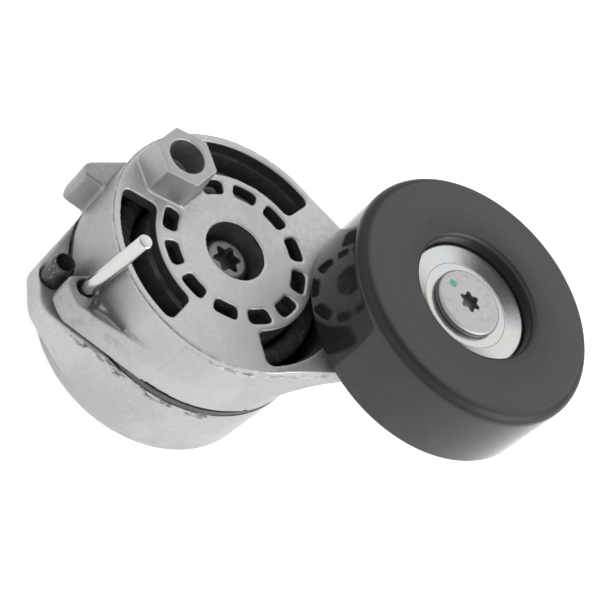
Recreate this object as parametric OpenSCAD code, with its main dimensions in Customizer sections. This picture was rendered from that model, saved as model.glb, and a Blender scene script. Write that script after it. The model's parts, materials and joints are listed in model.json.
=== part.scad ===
// Automatic belt tensioner with a smooth idler pulley.
// Origin: pivot axis on the mounting face. +Z runs along the pivot axis towards the pulley,
// +X from the pivot axis to the pulley axis. Millimetres.

/* [Overall] */
// Distance from the pivot axis to the pulley axis
arm_reach = 60.3; // [59:0.1:62]
// Height of the arm's front face above the mounting face
face_h = 48.5; // [48:0.1:50]
// Outer radius of the arm's drum
drum_r = 37; // [36.8:0.1:37.4]
// Thickness of the drum's wall
drum_wall = 2.2; // [2:0.1:2.4]
// Depth of the drum, from the front face to its lower edge
drum_depth = 23; // [22.8:0.1:23.2]
// Height of the gap between the base and the arm
joint_gap = 1.6; // [1.4:0.1:1.7]

/* [Arm face] */
// Thickness of the front plate
plate_t = 4; // [3.5:0.1:4.5]
// Radius of the centre disc
disc_r = 24.3; // [24:0.1:24.6]
// Angle that each window spans
window_span = 70; // [60:1:72]
// Number of places in the ring of slots, one of them under the hexagon
slot_places = 12; // [12]
// Radius of the ring of slots
slot_ring_r = 20; // [19.6:0.1:20.4]
// Slot size along the radius
slot_w = 4.3; // [3.4:0.1:4.4]
// Slot size along the ring
slot_len = 7.1; // [6:0.1:7.2]
// Radius of the opening round the pivot bolt
pivot_opening_r = 8.9; // [8.8:0.1:9]

/* [Hexagon] */
// Distance across the flats, for a spanner
hex_flats = 16; // [15:1:17]
// Height above the front face
hex_h = 9.6; // [9:0.1:10.5]
// Radius of the blind hole
hex_hole_r = 5.2; // [4.5:0.1:5.4]
// Depth of the blind hole
hex_hole_depth = 9; // [6:0.5:10]

/* [Arm end] */
// Radius of the arm's end round the pulley axis
arm_end_r = 9.5; // [9:0.1:10]
// Thickness of the arm beside the pulley
arm_t = 5.5; // [5:0.1:6]
// Radius of the scoop under the arm
scoop_r = 27; // [26:0.5:28]
// Radius of the seat that the bearing stands on
seat_r = 11.5; // [11:0.1:12]

/* [Pulley] */
// Outer radius
pulley_r = 38; // [36:0.5:39]
// Width of the pulley
pulley_w = 24.8; // [24:0.1:25.5]
// Gap between the arm's face and the pulley
pulley_gap = 2; // [1.5:0.1:2.5]
// Radius of the front edge's rounding
front_round = 2.6; // [2:0.1:3.4]
// Radius of the rear edge's rounding
rear_round = 1.5; // [1:0.1:2]
// Thickness of the rim
rim_t = 4; // [3.5:0.1:4.5]
// Number of ribs in the back
pulley_ribs = 12; // [8:1:16]
// Rib thickness
rib_t = 2; // [1.5:0.1:2.5]

/* [Bearing] */
// Bore radius
bearing_bore_r = 8.5; // [8.5]
// Outer radius
bearing_r = 20; // [20]
// Width
bearing_w = 12; // [12]
// Depth of the bearing inside the pulley's back
bearing_inset = 6; // [5.5:0.1:6.5]
// Ball radius
ball_r = 3.35; // [3.35]
// Number of balls
ball_count = 8; // [7:1:8]

/* [Dust cap and pulley bolt] */
// Outer radius of the dust cap
cap_r = 18.3; // [18:0.1:18.3]
// Radius where the cap starts to rise
cap_step_r = 13.8; // [13:0.1:14.5]
// Sheet thickness of the cap
cap_t = 0.9; // [0.8:0.1:1]
// Rise of the cap's edge above its flat
cap_rise = 1.3; // [1.2:0.1:1.8]
// Radius of the bolt's head
head_r = 10.2; // [9.5:0.1:10.5]
// Height of the bolt's head
head_h = 2; // [1.8:0.1:2.2]
// Radius of the M8 threads
thread_r = 4; // [4]
// Radius of the six-lobed socket in the pulley bolt
bolt_socket_r = 3.35; // [3:0.05:3.4]
// Radius of the six-lobed socket in the pivot bolt
pivot_socket_r = 4.4; // [4.2:0.05:4.4]

/* [Pivot] */
// Radius of the steel pivot shaft
shaft_r = 6.53; // [6.5:0.01:6.56]
// Running bore of the bushings
bushing_bore_r = 6.6; // [6.6:0.01:6.62]
// Outer radius of the bushings
bushing_r = 9.9; // [9.8:0.1:10]
// Outer radius of the arm's hub
hub_r = 13.5; // [13:0.1:14]
// Radius of the pivot bolt's head
pivot_head_r = 7.1; // [6.8:0.1:7.2]
// Height of the pivot bolt's head
pivot_head_h = 4.1; // [3.8:0.1:4.2]
// Depth of the head's top below the arm's face
pivot_head_depth = 4.6; // [4.4:0.1:5]

/* [Base] */
// Radius of the cup at its mounting face
foot_r = 35.9; // [35.6:0.1:36.4]
// Thickness of the cup's wall
cup_wall = 3; // [2.8:0.1:3.2]
// Thickness of the cup's floor
floor_t = 6; // [6:0.5:7]
// Radius of the post that holds the shaft
post_r = 12.5; // [12:0.1:13]
// Pitch circle radius of the mounting holes
mount_ring_r = 18; // [17.5:0.1:18]
// Number of mounting holes
mount_holes = 3; // [3]
// Radius of the tapped mounting holes
mount_hole_r = 3.4; // [3.4]
// Depth of the mounting holes
mount_hole_depth = 12; // [10:0.5:14]
// Radius of the centring recess in the mounting face
pilot_r = 12; // [12]
// Depth of the centring recess
pilot_depth = 3; // [2:0.5:3]

/* [Spring] */
// Wire radius
wire_r = 2.75; // [2.5:0.05:2.75]
// Mean radius of the coils
coil_r = 28; // [27.8:0.1:28.1]
// Number of turns
turns = 5.4; // [5:0.1:5.4]

/* [Stop pin and lock pin] */
// Outer radius of the rolled stop pin
stop_r = 3.3; // [3:0.05:3.3]
// Sheet thickness of the stop pin
stop_wall = 0.7; // [0.6:0.05:0.9]
// Radius of the lock pin
lock_r = 2; // [2]
// Radius of the arm's hole for the lock pin
lock_hole_r = 2.7; // [2.6:0.05:2.8]
// Lean of the lock pin in its hole
lock_lean = 5.4; // [0:0.1:5.6]
// Length of the lock pin
lock_len = 39; // [30:1:45]

/* [Hidden] */
$fn = 96;
eps = 0.01;
slack = 0.05;

// Heights of the arm
arm_z = face_h - drum_depth;
cup_top = arm_z - joint_gap;
plate_z = face_h - plate_t;
drum_in_r = drum_r - drum_wall;
lip_t = 1;
liner_t = 1.2;
guide_r = 24.2;
pivot_seat_z = face_h - pivot_head_depth - pivot_head_h;
washer_t = 0.8;
shaft_top = pivot_seat_z - washer_t;

// Heights of the pulley group
pulley_z = face_h + pulley_gap;
bearing_z = pulley_z + bearing_inset;
bearing_top = bearing_z + bearing_w;
shield_t = 0.8;
shield_step = 0.7;
race_r = (bearing_bore_r + bearing_r) / 2;
groove_r = ball_r + slack;
race_gap_r = 2.35;
cage_h = 8.6;
seal_t = 0.9;
seal_inset = 0.3;

// Base
cup_in_r = foot_r - cup_wall;
shaft_flange_r = 9;
shaft_flange_t = 2;
boss_r = 5.5;
thrust_t = 1.5;
post_top = arm_z - 1 - slack - thrust_t;
foot_round = 1.5;
relief_depth = 1.5;
relief_edge = 5;
foot_rib = 2.5;
ear_bottom = 17;
ear_foot = 2.5;

// Angles round the pivot
hex_angle = 148.9;
solid_slot = 5;
slot_round = 1.3;
hex_ring_r = 26.6;
hex_corner_r = hex_flats / sqrt(3);
hex_draft = 0.9;
hex_root = 2;
lock_angle = -146.75;
lock_ring_r = 40.2;
stop_angle = -159.4;
stop_ring_r = 42.4;
stop_slit_turn = 130;
// Corners of the base's ear: distance, angle and rounding
base_ear_corners = [[drum_r - 1, 168, 1], [40.2, stop_angle - 1, 6.4], [41, -150, 7],
    [43.6, -143.4, 2], [drum_r - 2.1, -104, 2]];
arm_ear_top = 34.5;
arm_lug_top = 38.2;
stop_top = 31.5;
step_depth = 0.4;
step_mid = -79.5;
step_half = 25;
edge_mid = -59.5;
edge_half = 47;
edge_rise = 0.5;

// ---- shared shapes ----

// A tube between two radii, standing on height z
module tube(r_out, r_in, z, h) {
    translate([0, 0, z]) difference() {
        cylinder(r = r_out, h = h);
        translate([0, 0, -1]) cylinder(r = r_in, h = h + 2);
    }
}

// A block bent round the Z axis, from r0 to r1 and half_angle each way
module arc_block(r0, r1, half_angle, z, h) {
    rotate(-half_angle) rotate_extrude(angle = 2 * half_angle)
        translate([r0, z]) square([r1 - r0, h]);
}

// The same with corners of radius c
module round_arc_block(r0, r1, half_angle, c, z, h) {
    in_a = half_angle - asin(c / (r0 + c));
    out_a = half_angle - asin(c / (r1 - c));
    mid_r = (r0 + r1) / 2;
    arc_block(r0 + c, r1 - c, half_angle, z, h);
    arc_block(r0, mid_r, in_a, z, h);
    arc_block(mid_r, r1, out_a, z, h);
    for (side = [-1, 1]) {
        rotate(side * in_a) translate([r0 + c, 0, z]) cylinder(r = c, h = h);
        rotate(side * out_a) translate([r1 - c, 0, z]) cylinder(r = c, h = h);
    }
}

// Puts its children on the pulley axis
module on_pulley_axis() {
    translate([arm_reach, 0, 0]) children();
}

// Places its children at a radius and an angle round the pivot
module polar(r, a) {
    rotate(a) translate([r, 0, 0]) children();
}

// Six-lobed driver socket, pointing down from height z
module torx(r, z, depth) {
    lobe = 0.22 * r;
    translate([0, 0, z - depth]) {
        cylinder(r = 0.76 * r, h = depth + 1);
        for (i = [0:5]) polar(r - lobe, 60 * i) cylinder(r = lobe, h = depth + 1);
    }
}

// Places its children at each mounting hole
module at_mount_holes() {
    for (i = [0:mount_holes - 1])
        polar(mount_ring_r, 60 + 360 / mount_holes * i) children();
}

// ---- base ----

// Outside of the cup as a half section
module cup_section() {
    polygon([[0, 0], [foot_r - foot_round, 0], [foot_r, foot_round],
        [drum_r, cup_top], [0, cup_top]]);
    translate([foot_r - foot_round, foot_round]) circle(r = foot_round);
}

// Plan of the ear that carries the stop pin and the lock hole
module base_ear_plan() hull()
    for (corner = base_ear_corners)
        polar(corner[0], corner[1]) circle(r = corner[2], $fn = 32);

module base_housing() color("gainsboro") difference() {
    union() {
        difference() {
            rotate_extrude() cup_section();
            translate([0, 0, floor_t]) cylinder(r = cup_in_r, h = face_h);
        }
        // Ear, with an underside that runs down into the cup
        difference() {
            union() {
                translate([0, 0, ear_bottom]) linear_extrude(cup_top - ear_bottom) base_ear_plan();
                hull() {
                    translate([0, 0, ear_bottom]) linear_extrude(0.1) base_ear_plan();
                    translate([0, 0, ear_foot]) cylinder(r = foot_r - 0.8, h = 0.1, $fn = 64);
                }
            }
            cylinder(r = cup_in_r + eps, h = face_h);
        }
        cylinder(r = post_r, h = post_top);
        at_mount_holes() cylinder(r = boss_r, h = mount_hole_depth + 3);
    }
    // Relief in the mounting face, between raised ribs and bosses
    difference() {
        tube(foot_r - relief_edge, pilot_r + 3, -1, relief_depth + 1);
        at_mount_holes() cylinder(r = boss_r + 2, h = relief_depth + 1);
        for (i = [0:mount_holes * 2 - 1])
            rotate(30 + 180 / mount_holes * i)
                translate([pilot_r, -foot_rib / 2, -1]) cube([foot_r - pilot_r, foot_rib, relief_depth + 2]);
    }
    at_mount_holes() translate([0, 0, -1]) cylinder(r = mount_hole_r, h = mount_hole_depth + 1);
    translate([0, 0, -1]) cylinder(r = pilot_r, h = pilot_depth + 1);
    translate([0, 0, -1]) cylinder(r = shaft_flange_r, h = pilot_depth + shaft_flange_t + 1);
    translate([0, 0, -1]) cylinder(r = shaft_r, h = face_h);
    polar(stop_ring_r, stop_angle) cylinder(r = stop_r, h = face_h);
    polar(lock_ring_r, lock_angle) cylinder(r = lock_r + 0.1, h = face_h);
}

// Steel post, flanged at the back and tapped at the front
module pivot_shaft() color("dimgray") difference() {
    union() {
        translate([0, 0, pilot_depth]) cylinder(r = shaft_flange_r, h = shaft_flange_t);
        translate([0, 0, pilot_depth]) cylinder(r = shaft_r, h = shaft_top - pilot_depth);
    }
    translate([0, 0, shaft_top - 26]) cylinder(r = thread_r, h = 27);
}

module pivot_bolt() color("silver") difference() {
    union() {
        translate([0, 0, pivot_seat_z]) rotate_extrude() {
            square([pivot_head_r - 1.4, pivot_head_h]);
            square([pivot_head_r, pivot_head_h - 1.4]);
            translate([pivot_head_r - 1.4, pivot_head_h - 1.4]) circle(r = 1.4);
        }
        translate([0, 0, shaft_top - 24]) cylinder(r = thread_r, h = 25);
    }
    rotate(21) torx(pivot_socket_r, face_h - pivot_head_depth, 3);
}

module retaining_washer() color("dimgray")
    tube(pivot_opening_r - 0.4, thread_r + 0.2, shaft_top, washer_t);

module thrust_washer() color("darkgray")
    tube(post_r, shaft_r + slack, post_top, thrust_t);

// Round wire swept along the coils
module torsion_spring() {
    steps = 24;
    sides = 10;
    low = floor_t + 0.3 + wire_r;
    high = plate_z - 0.5 - wire_r;
    rings = round(turns * steps);
    points = [for (i = [0:rings], j = [0:sides - 1])
        let (a = 360 * i / steps, b = 360 * j / sides, r = coil_r + wire_r * cos(b))
        [r * cos(a), r * sin(a), low + (high - low) * i / rings + wire_r * sin(b)]];
    walls = [for (i = [0:rings - 1], j = [0:sides - 1])
        let (k = (j + 1) % sides)
        [i * sides + j, (i + 1) * sides + j, (i + 1) * sides + k, i * sides + k]];
    first = [for (j = [0:sides - 1]) j];
    last = [for (j = [sides - 1:-1:0]) rings * sides + j];
    color("black") polyhedron(points, concat(walls, [first, last]));
}

// Split plastic sleeve between the coils and the cup
module damping_sleeve() color("black") difference() {
    tube(cup_in_r - 0.1, coil_r + wire_r + 0.2, floor_t + 0.1, cup_top - floor_t - 1);
    rotate(45) translate([0, -2, 0]) cube([drum_r, 4, face_h]);
}

// Black ring that closes the gap between the base and the arm
module gap_seal() color("black")
    tube(drum_r - step_depth, drum_in_r - 1, cup_top, joint_gap - slack);

// Rolled spring pin with its slit
module stop_pin() color("black") polar(stop_ring_r, stop_angle) difference() {
    tube(stop_r, stop_r - stop_wall, ear_bottom, stop_top - ear_bottom);
    rotate(stop_slit_turn) translate([0, -0.5, 0]) cube([stop_r + 1, 1, face_h]);
}

// ---- arm ----

// Ear that carries the lock pin, with a straight outer wall
module arm_ear() {
    wall_start = [-34.9, -28.6];
    wall_end = [-9.5, -35.7];
    tip = [[-33, -17.5], [-38.9, -20.6], [-39.2, -23.5], [-37.1, -26.6]];
    wall_dir = atan2(wall_end[1] - wall_start[1], wall_end[0] - wall_start[0]);
    outline = concat(tip, [wall_start, wall_end, [-9, -30], [-25, -20]]);
    rise_start = 5.8;
    rise_slope = 8.5;
    pocket = [24, 12, 12];
    pocket_wall = 1.4;
    pocket_depth = 3.4;
    pocket_slope = 17.5;
    pocket_rib = [12, 1.6, 2];
    difference() {
        union() {
            // Flat top round the lock pin
            translate([0, 0, arm_z]) linear_extrude(arm_ear_top - arm_z) polygon(outline);
            // Rising top along the wall
            intersection() {
                translate([0, 0, arm_z]) linear_extrude(arm_lug_top - arm_z) polygon(outline);
                translate([wall_start[0], wall_start[1], arm_ear_top]) rotate([0, 0, wall_dir])
                    translate([rise_start, 0, 0]) rotate([0, -rise_slope, 0])
                        translate([-10, -10, -30]) cube([60, 50, 30]);
            }
        }
        // Pocket between the wall and the drum, its floor rising to a point
        translate([wall_start[0], wall_start[1], arm_ear_top - pocket_depth]) rotate([0, 0, wall_dir])
            translate([3.4, pocket_wall, 0]) rotate([0, -pocket_slope, 0]) difference() {
                cube(pocket);
                translate([1.5, 3.6, -0.6]) rotate([0, 0, -9]) cube(pocket_rib);
            }
    }
}

// Stop lug on the drum's left side
module arm_lug() {
    translate([0, 0, arm_z]) linear_extrude(arm_lug_top - arm_z)
        polygon([[-30, 20], [-31.2, 21.5], [-41.9, 15.2], [-42.8, 14], [-42.9, 10.8], [-42.2, 9.9],
            [-36, 8.6]]);
}

// Outside of the drum, with a shallow step in its right-hand side
module drum() {
    difference() {
        translate([0, 0, arm_z]) cylinder(r = drum_r, h = drum_depth);
        rotate(step_mid)
            arc_block(drum_r - step_depth, drum_r + 1, step_half, arm_z - 1, drum_depth - 0.8);
    }
}

// Arm between the drum and the pulley, scooped out below
module arm_bridge() {
    scoop_x = 18.3 + scoop_r;
    far = arm_reach + arm_end_r;
    intersection() {
        translate([0, 0, arm_z]) linear_extrude(drum_depth) hull() {
            circle(r = drum_r - 0.3);
            translate([arm_reach, 0]) circle(r = arm_end_r);
        }
        rotate([90, 0, 0]) linear_extrude(2 * drum_r, center = true) difference() {
            translate([0, arm_z]) square([far, drum_depth]);
            translate([scoop_x, face_h - arm_t - scoop_r]) circle(r = scoop_r);
            translate([scoop_x, arm_z - 1]) square([far, drum_depth + 1 - arm_t]);
        }
    }
}

module arm_housing() color("lightgray") difference() {
    union() {
        difference() {
            union() {
                drum();
                arm_bridge();
                arm_ear();
                arm_lug();
            }
            translate([0, 0, arm_z - 1]) cylinder(r = drum_in_r, h = drum_depth - plate_t + 1);
        }
        translate([0, 0, arm_z]) cylinder(r = hub_r, h = drum_depth - eps);
        polar(hex_ring_r, hex_angle) rotate(-hex_angle) translate([0, 0, face_h - hex_root])
            cylinder(r1 = hex_corner_r + hex_draft, r2 = hex_corner_r, h = hex_h + hex_root, $fn = 6);
        on_pulley_axis() {
            translate([0, 0, face_h - arm_t - 4.5]) cylinder(r = arm_end_r - 1, h = arm_t + 4.5);
            translate([0, 0, face_h - arm_t]) cylinder(r = seat_r, h = bearing_z - shield_t - face_h + arm_t);
            translate([0, 0, face_h]) cylinder(r = bearing_bore_r - slack, h = bearing_top - face_h - 1);
        }
    }
    // Raised lower edge on the right-hand side of the drum
    rotate(edge_mid) arc_block(drum_in_r - 1, drum_r + 1, edge_half, arm_z - 1, edge_rise + 1);
    // Windows between the spokes
    for (i = [0:2])
        rotate(90 + 120 * i)
            round_arc_block(disc_r, drum_in_r - 0.2, window_span / 2, 2, plate_z - 1, plate_t + 2);
    // Ring of slots, with the place under the hexagon left solid
    for (i = [0:slot_places - 1])
        if (i != solid_slot)
            rotate(360 / slot_places * i)
                round_arc_block(slot_ring_r - slot_w / 2, slot_ring_r + slot_w / 2,
                    slot_len / slot_ring_r * 90 / PI, slot_round, plate_z - 1, plate_t + 2);
    translate([0, 0, arm_z - 1]) cylinder(r = bushing_r, h = drum_depth - lip_t + 1);
    translate([0, 0, arm_z]) cylinder(r = pivot_opening_r, h = drum_depth + 1);
    polar(hex_ring_r, hex_angle) translate([0, 0, face_h + hex_h - hex_hole_depth])
        cylinder(r = hex_hole_r, h = hex_hole_depth + 1);
    polar(lock_ring_r, lock_angle) translate([0, 0, arm_z - 1]) cylinder(r = lock_hole_r, h = drum_depth);
    on_pulley_axis() translate([0, 0, face_h - 20]) cylinder(r = thread_r, h = 60);
}

// Upper bushing: lines the opening, and its ledge carries the retaining washer
module upper_bushing() color("black") {
    ledge = shaft_top - slack;
    low = arm_z + 8;
    tube(bushing_r, bushing_bore_r, low, ledge - low);
    tube(bushing_r, pivot_opening_r, ledge - eps, face_h - lip_t - ledge + eps);
}

// Plastic sleeve that lines the drum
module arm_liner() color("black")
    tube(drum_in_r, drum_in_r - liner_t, arm_z + 1, plate_z - arm_z - 1);

// Plastic sleeve inside the coils, closed above by a disc behind the slots
module spring_guide() color("black") {
    disc_t = 1.5;
    disc_z = plate_z - 2 - disc_t;
    tube(guide_r, guide_r - 1.4, arm_z + 1, disc_z + slack - arm_z);
    tube(guide_r, hub_r, disc_z, disc_t);
}

module lower_bushing() color("black") {
    tube(bushing_r, bushing_bore_r, arm_z - eps, 7.5);
    tube(hub_r, bushing_bore_r, arm_z - 1, 1);
}

// Steel pin that holds the arm until the belt is fitted
module lock_pin() {
    mid_z = (arm_z + arm_ear_top) / 2;
    below = 5.3;
    color("whitesmoke") polar(lock_ring_r, lock_angle) translate([0, 0, mid_z]) rotate([-lock_lean, 0, 0])
        translate([0, 0, -below]) rotate_extrude() {
            polygon([[0, 0], [lock_r - 0.4, 0], [lock_r, 0.4], [lock_r, lock_len - 0.4],
                [lock_r - 0.4, lock_len], [0, lock_len]]);
        }
}

// ---- pulley and bearing ----

// Half section of the moulded pulley round its own axis
module pulley_section() {
    top = pulley_w;
    web = 4;
    hub_out = bearing_r + 3.5;
    hub_low = bearing_inset - 1;
    lip_r = 18.7;
    flare = 1.8;
    difference() {
        union() {
            // Rim with rounded edges
            translate([pulley_r - rim_t, rear_round]) square([rim_t, top - rear_round - front_round]);
            translate([pulley_r - rim_t, 0]) square([rim_t - rear_round, rear_round + eps]);
            translate([pulley_r - rear_round, rear_round]) circle(r = rear_round);
            translate([pulley_r - front_round, top - front_round]) circle(r = front_round);
            // Front web and hub
            translate([lip_r, top - web - 3]) square([pulley_r - front_round - lip_r, web + 3]);
            translate([bearing_r, hub_low]) square([hub_out - bearing_r, top - hub_low - web]);
        }
        // Flare that runs from the face into the bearing's opening
        translate([lip_r - 1, top - flare]) difference() {
            square([flare + 1, flare + 1]);
            translate([flare + 1, 0]) circle(r = flare);
        }
        translate([hub_out, -1]) square([pulley_r - rim_t - hub_out, top - web + 1]);
        translate([0, 0]) square([bearing_r, bearing_inset + bearing_w]);
    }
}

module pulley() color("black") on_pulley_axis() translate([0, 0, pulley_z]) {
    rotate_extrude() pulley_section();
    for (i = [0:pulley_ribs - 1])
        rotate(360 / pulley_ribs * i) translate([bearing_r + 3, -rib_t / 2, 6])
            cube([pulley_r - rim_t - bearing_r - 2.5, rib_t, pulley_w - 9]);
}

// Half section of a bearing ring with its groove
module race(r0, r1) {
    difference() {
        translate([r0, 0]) square([r1 - r0, bearing_w]);
        translate([race_r, bearing_w / 2]) circle(r = groove_r);
    }
}

module bearing_outer_ring() color("silver") on_pulley_axis() translate([0, 0, bearing_z])
    rotate_extrude() race(race_r + race_gap_r, bearing_r);

module bearing_inner_ring() color("silver") on_pulley_axis() translate([0, 0, bearing_z])
    rotate_extrude() race(bearing_bore_r, race_r - race_gap_r);

module bearing_balls() color("white") on_pulley_axis() translate([0, 0, bearing_z + bearing_w / 2])
    for (i = [0:ball_count - 1]) polar(race_r, 360 / ball_count * i) sphere(r = ball_r);

module bearing_cage() color("peru") on_pulley_axis() translate([0, 0, bearing_z + bearing_w / 2])
    difference() {
        tube(race_r + 1.2, race_r - 1.2, -cage_h / 2, cage_h);
        for (i = [0:ball_count - 1])
            rotate([0, 90, 360 / ball_count * i]) cylinder(r = ball_r + slack, h = bearing_r);
    }

module seal(z) {
    on_pulley_axis() translate([0, 0, z])
        tube(race_r + race_gap_r, race_r - race_gap_r + slack, 0, seal_t);
}

module front_seal() color("black") seal(bearing_top - seal_inset - seal_t);

module rear_seal() color("black") seal(bearing_z + seal_inset);

// Stepped washer behind the bearing, clear of its outer ring
module rear_shield() color("silver") on_pulley_axis() translate([0, 0, bearing_z - shield_t])
    rotate_extrude() polygon([[bearing_bore_r, 0], [seat_r, 0], [seat_r + 0.6, -shield_step],
        [cap_r - 0.4, -shield_step], [cap_r - 0.4, shield_t - shield_step],
        [seat_r + 1.1, shield_t - shield_step], [seat_r + 0.5, shield_t], [bearing_bore_r, shield_t]]);

// Dished steel cap under the bolt's head
module dust_cap() color("silver") on_pulley_axis() translate([0, 0, bearing_top]) rotate_extrude() {
    translate([thread_r + 0.2, 0]) square([cap_step_r - thread_r - 0.2, cap_t]);
    polygon([[cap_step_r - 0.3, 0], [cap_r - 1, cap_rise], [cap_r, cap_rise], [cap_r, cap_rise + cap_t],
        [cap_r - 1.4, cap_rise + cap_t], [cap_step_r - 0.3, cap_t]]);
}

module pulley_bolt() color("gray") on_pulley_axis() difference() {
    seat = bearing_top + cap_t;
    union() {
        translate([0, 0, seat]) rotate_extrude() {
            square([head_r - 0.8, head_h]);
            square([head_r, head_h - 0.8]);
            translate([head_r - 0.8, head_h - 0.8]) circle(r = 0.8);
        }
        translate([0, 0, face_h - arm_t - 3.5]) cylinder(r = thread_r, h = seat - face_h + arm_t + 4);
    }
    rotate(45) torx(bolt_socket_r, seat + head_h, 1.8);
}

base_housing();
pivot_shaft();
pivot_bolt();
retaining_washer();
thrust_washer();
torsion_spring();
damping_sleeve();
gap_seal();
stop_pin();
arm_housing();
arm_liner();
spring_guide();
upper_bushing();
lower_bushing();
lock_pin();
pulley();
bearing_outer_ring();
bearing_inner_ring();
bearing_balls();
bearing_cage();
front_seal();
rear_seal();
rear_shield();
dust_cap();
pulley_bolt();
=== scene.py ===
import json
import math

import bmesh
import bpy
import numpy as np
from mathutils import Matrix, Vector, noise


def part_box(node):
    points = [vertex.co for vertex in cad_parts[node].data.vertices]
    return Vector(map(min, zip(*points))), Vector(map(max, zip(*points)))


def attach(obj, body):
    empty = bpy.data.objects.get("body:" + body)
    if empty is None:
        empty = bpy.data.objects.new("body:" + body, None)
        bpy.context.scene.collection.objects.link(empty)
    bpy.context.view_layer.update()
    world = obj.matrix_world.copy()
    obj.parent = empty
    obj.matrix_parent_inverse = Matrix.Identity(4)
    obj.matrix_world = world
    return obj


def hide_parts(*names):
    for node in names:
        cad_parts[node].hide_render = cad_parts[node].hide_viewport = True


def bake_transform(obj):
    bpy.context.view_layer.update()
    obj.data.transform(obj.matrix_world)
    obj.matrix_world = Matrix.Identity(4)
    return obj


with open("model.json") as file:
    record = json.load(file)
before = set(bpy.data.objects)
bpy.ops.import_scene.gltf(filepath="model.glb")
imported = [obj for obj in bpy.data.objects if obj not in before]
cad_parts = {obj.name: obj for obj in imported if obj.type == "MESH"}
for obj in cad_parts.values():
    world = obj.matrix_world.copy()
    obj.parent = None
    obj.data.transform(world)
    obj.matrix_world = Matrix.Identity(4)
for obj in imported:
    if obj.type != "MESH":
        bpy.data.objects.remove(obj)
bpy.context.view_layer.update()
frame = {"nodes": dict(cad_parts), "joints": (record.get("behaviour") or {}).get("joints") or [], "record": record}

MM = 0.001
NODES = frame["nodes"]

# ---- camera: above the hexagon's side, rolled so that the arm lies across the picture ----
CAMERA_AIM = Vector((23.84, -1.15, 43.33)) * MM
CAMERA_DIR = Vector((0.36604, 0.62911, -0.68574))
CAMERA_DISTANCE = 0.5647
CAMERA_ROLL = math.radians(47.95)
CAMERA_LENS = 124.9

# ---- light: strengths of the sky, and the heights (0 level, 1 overhead) between which it changes ----
SKY_HORIZON = 0.25
SKY_MIDDLE = 1.5
SKY_TOP = 0.12
SKY_RISE = (0.08, 0.5)
SKY_FALL = (0.75, 0.93)
FLOOR_HALF = 4000
FLOOR_GLOW = 0.5
KEY_ENERGY = 9.0
KEY_SIZE = 0.8
KEY_PLACE = Vector((0.95, -0.45, 0.6))

# ---- sizes that the boxes of the CAD nodes don't give, in mm ----
DRUM_R = 37.0
LINER_TO_FACE = 4.0
PIVOT_OPENING_R = 8.9
WINDOW_R = 35.2
# How much higher the drum's lower edge is between the step and the bridge
EDGE_RISE = 0.5
SPRING_WIRE_R = 2.75
SPRING_TURNS = 5.4
LOCK_PIN_R = 2.0
STOP_PIN_WALL = 0.7
# The stop pin's slit: its direction and half its width, in degrees
STOP_PIN_SLIT = (-29.4, 9.0)
CAP_SHEET = 0.9
CAP_DISH_R = 13.6
THREAD_R = 4.0
THREAD_TIP = 0.6
# Driver sockets: radius, depth and turn in degrees
PIVOT_SOCKET = (4.4, 3.0, 21.0)
PULLEY_SOCKET = (3.35, 1.8, 45.0)
# Paint dot on the pulley bolt: distance from its middle, direction in degrees, and radius
SPOT_PLACE = (6.7, 151.0)
SPOT_R = 1.25

# ---- castings: how they are remade, in mm and rounds of smoothing ----
WELD = 0.0002
CAST_VOXEL = 0.42
CAST_FACES = 190_000
# The first rounds smooth every edge and the rest only the soft areas; edges are found over a few more
EVEN_TURNS = 2
SOFT_TURNS = 14
EDGE_TURNS = 8
# How far the uneven skin sinks, so that it stays inside the CAD box
SKIN_DEPTH = 0.05


# ================= meshes =================

def middle(node):
    """Centre of a CAD node's box, in mm."""
    low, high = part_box(node)
    return (low + high) / 2 / MM


def span(node):
    """Size of a CAD node's box, in mm."""
    low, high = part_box(node)
    return (high - low) / MM


def floor_of(node):
    """Lowest height of a CAD node, in mm."""
    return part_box(node)[0].z / MM


def top_of(node):
    """Highest height of a CAD node, in mm."""
    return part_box(node)[1].z / MM


def arm_face():
    """Height of the arm's flat face, in mm."""
    return top_of("arm_liner") + LINER_TO_FACE


def hexagon_hole():
    """Centre of the blind hole's mouth and its radius, in mm, from its mount."""
    for mount in frame["record"]["mounts"]:
        if mount["name"] == "hexagon_hole":
            return Vector(mount["pos_m"]) / MM, mount["dims"]["r_mm"]


def new_object(name, bm):
    """An object from a bmesh in mm."""
    bmesh.ops.scale(bm, vec=(MM, MM, MM), verts=bm.verts)
    bmesh.ops.recalc_face_normals(bm, faces=bm.faces)
    mesh = bpy.data.meshes.new(name)
    bm.to_mesh(mesh)
    bm.free()
    obj = bpy.data.objects.new(name, mesh)
    bpy.context.scene.collection.objects.link(obj)
    return obj


def fillet(corners, steps=8):
    """Points of a closed outline, each corner (radius, height, rounding) rounded by an arc."""
    points = []
    for i, (x, y, rounding) in enumerate(corners):
        here = Vector((x, y))
        if rounding == 0:
            points.append(here)
            continue
        before = (Vector(corners[i - 1][:2]) - here).normalized()
        after = (Vector(corners[(i + 1) % len(corners)][:2]) - here).normalized()
        half = before.angle(after) / 2
        centre = here + (before + after).normalized() * rounding / math.sin(half)
        reach = rounding / math.tan(half)
        first = here + before * reach - centre
        last = here + after * reach - centre
        start = math.atan2(first.y, first.x)
        turn = (math.atan2(last.y, last.x) - start + math.pi) % math.tau - math.pi
        for s in range(steps + 1):
            a = start + turn * s / steps
            points.append(centre + Vector((math.cos(a), math.sin(a))) * rounding)
    return points


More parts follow.
